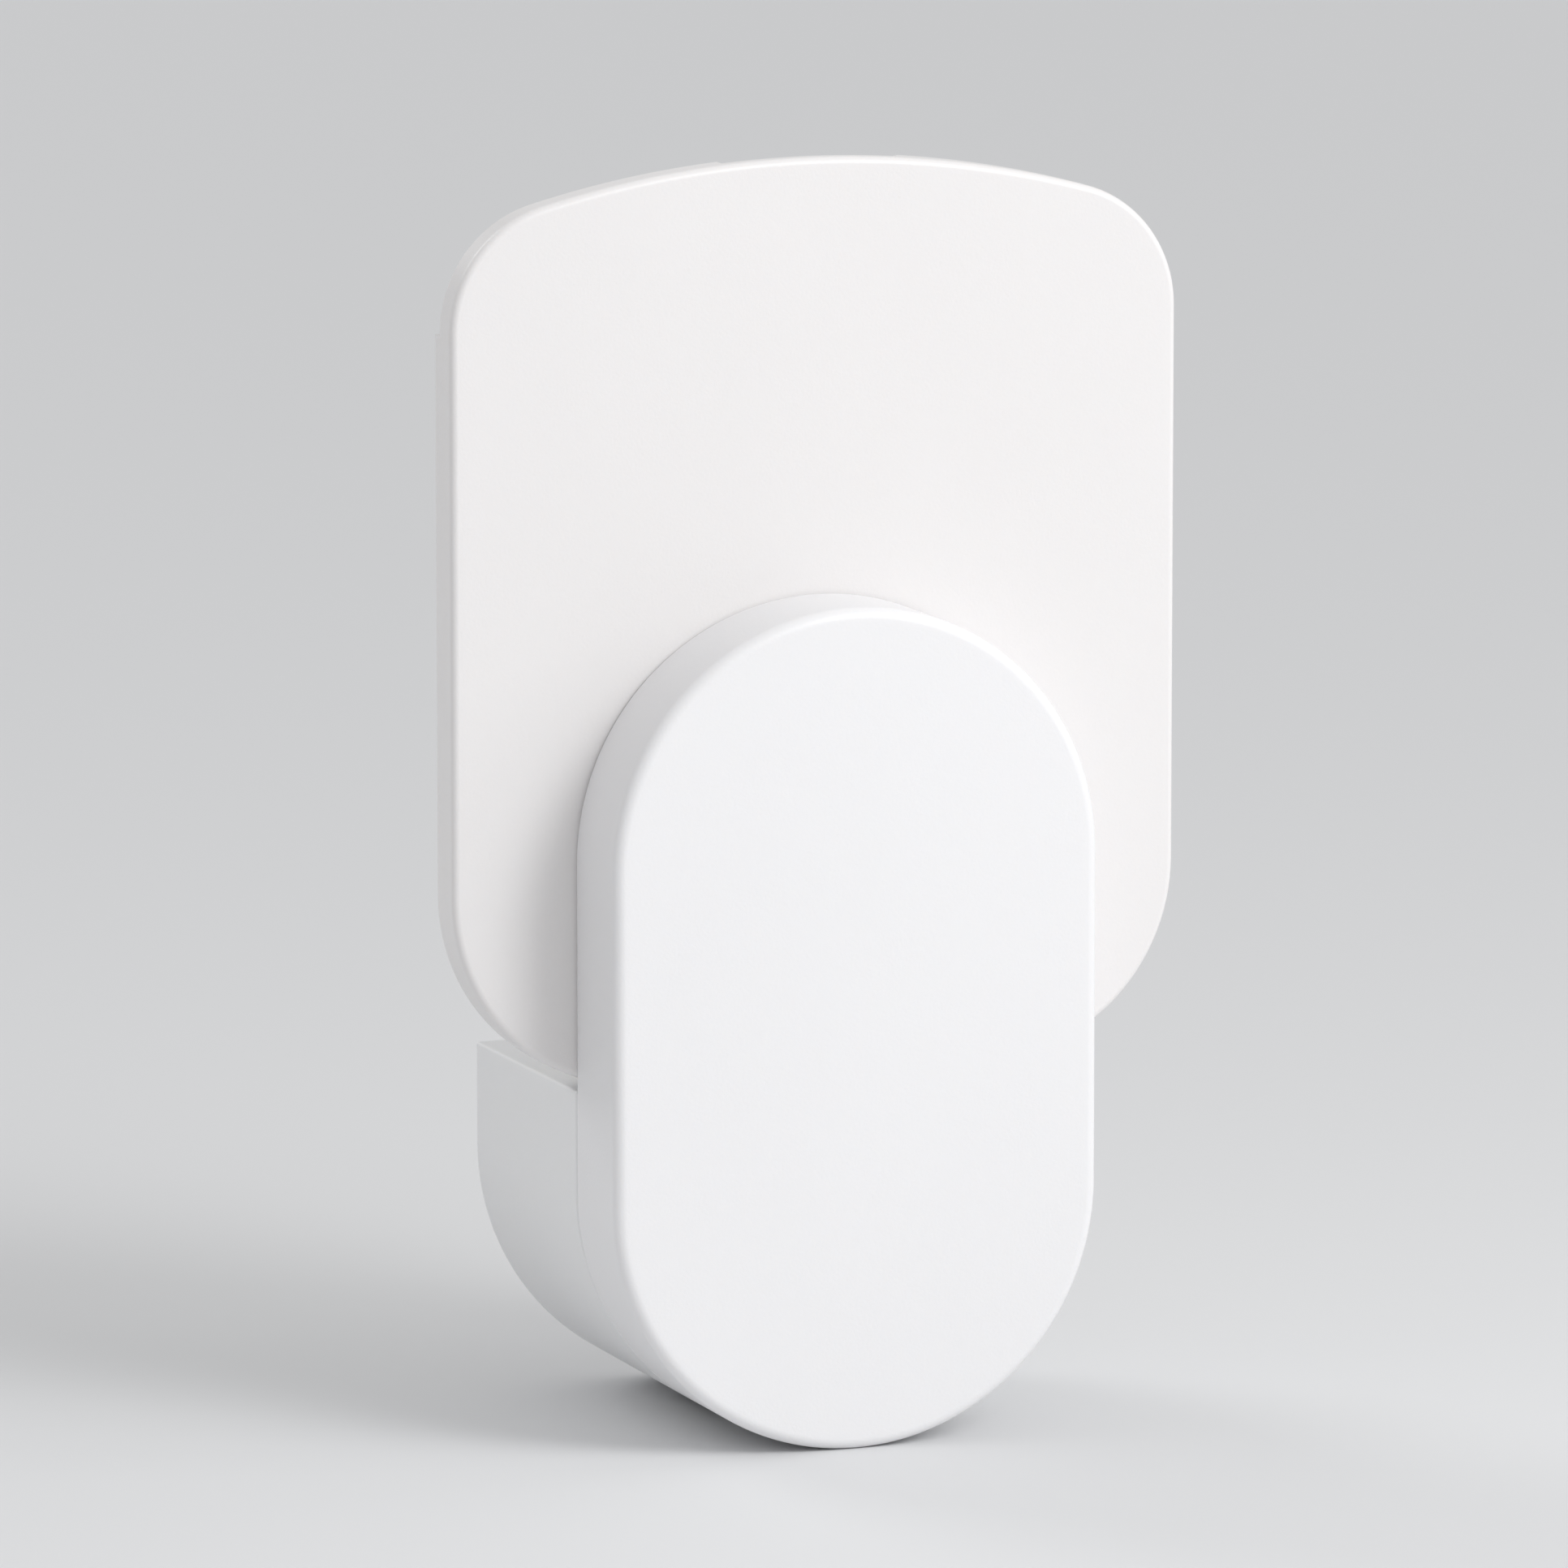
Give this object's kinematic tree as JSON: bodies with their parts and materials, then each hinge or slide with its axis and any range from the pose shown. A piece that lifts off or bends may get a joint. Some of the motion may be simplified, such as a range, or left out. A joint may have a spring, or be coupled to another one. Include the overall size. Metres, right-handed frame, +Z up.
{
  "type": "plug-in insect light trap",
  "caption": "Wall-outlet insect light trap: pill-shaped front cover, lamp housing with a two-blade plug, and a tall plate behind it that holds a sliding glue card.",
  "frame": {"origin": "midway between the two plug blades, on the plane of the back face that meets the wall plate", "axes": "+Z up, +Y into the wall along the plug blades, -Y towards the room, +X to the right as seen from the room"},
  "size_m": [0.084, 0.063, 0.14],
  "materials": {
    "cover_white": "satin moulded ABS",
    "holder_white": "satin moulded ABS",
    "housing_white": "satin moulded ABS",
    "inner_plastic": "plain moulded ABS",
    "lens_frosted": "frosted polycarbonate",
    "reflector_white": "gloss white",
    "led_board_white": "white solder mask",
    "driver_board_green": "green solder mask",
    "uv_led": "clear dome on a white package",
    "blue_led": "clear dome on a white package",
    "blade_nickel": "nickel plated",
    "crimp_brass": "plain",
    "lead_insulation": "PVC insulation",
    "signal_lead_insulation": "PVC insulation",
    "carrier_plastic": "flame-retardant nylon",
    "capacitor_film": "moulded case",
    "capacitor_can": "printed sleeve",
    "epoxy_black": "moulded epoxy",
    "varistor_coat": "dipped epoxy",
    "coil_copper": "enamelled winding on ferrite",
    "resistor_body": "lacquered ceramic",
    "fuse_body": "lacquered ceramic",
    "connector_nylon": "natural nylon",
    "screw_steel": "zinc plated",
    "label_film": "blank silver film",
    "card_board": "coated board",
    "glue_film": "tacky clear glue"
  },
  "bodies": {
    "base": {"front_cover": "cover_white", "slot_plate": "inner_plastic", "rear_housing": "housing_white", "rating_label": "label_film", "light_lens": "lens_frosted", "light_reflector": "reflector_white", "led_board": "led_board_white", "uv_leds": "uv_led", "blue_leds": "blue_led", "plug_insert": "carrier_plastic", "plug_blade_left": "blade_nickel", "plug_blade_right": "blade_nickel", "lead_crimps": "crimp_brass", "mains_leads": "lead_insulation", "led_leads": "signal_lead_insulation", "driver_board": "driver_board_green", "film_capacitor": "capacitor_film", "smoothing_capacitor": "capacitor_can", "bridge_rectifier": "epoxy_black", "varistor": "varistor_coat", "inductor": "coil_copper", "resistors": "resistor_body", "fuse": "fuse_body", "led_connector": "connector_nylon", "housing_screws": "screw_steel", "board_screws": "screw_steel"},
    "holder": {"card_holder": "holder_white"},
    "card": {"glue_card": "card_board", "adhesive_layer": "glue_film"}
  },
  "joints": [
    {"name": "holder_lift", "type": "slide", "parent": "base", "child": "holder", "axis": [0, 0, 1], "range_m": [0, 0.054]},
    {"name": "card_slide", "type": "slide", "parent": "holder", "child": "card", "axis": [0, 0, 1], "range_m": [0, 0.075]}
  ]
}
